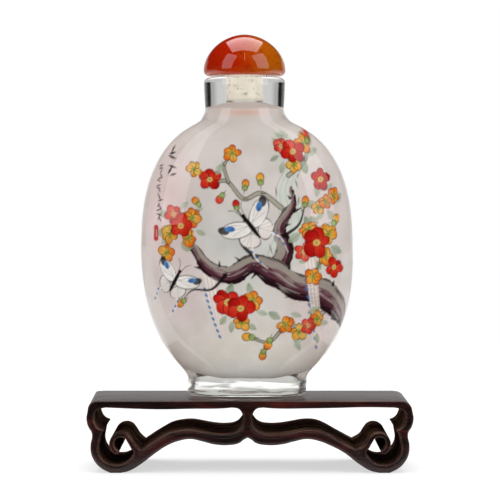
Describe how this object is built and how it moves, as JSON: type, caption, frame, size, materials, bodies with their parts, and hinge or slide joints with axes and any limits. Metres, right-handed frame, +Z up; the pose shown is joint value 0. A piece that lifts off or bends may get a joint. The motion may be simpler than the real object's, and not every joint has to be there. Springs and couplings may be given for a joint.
{
  "type": "snuff bottle on a stand",
  "caption": "Flattened oval snuff bottle of clear glass, painted inside, with a domed stone stopper, standing on a low carved wooden scroll stand.",
  "frame": {"origin": "on the ground, under the middle of the stand", "axes": "+Z up through the bottle, -Y towards the front, +X to the right as seen from the front"},
  "size_m": [0.082, 0.028, 0.1106],
  "materials": {
    "clear_glass": "polished outside, ground and painted inside",
    "red_agate": "polished",
    "cream_plug": "matte",
    "rosewood": "dark stain, rubbed wax"
  },
  "bodies": {
    "root": {"bottle": "clear_glass", "stopper_cap": "red_agate", "stopper_plug": "cream_plug", "stand": "rosewood"}
  },
  "joints": []
}
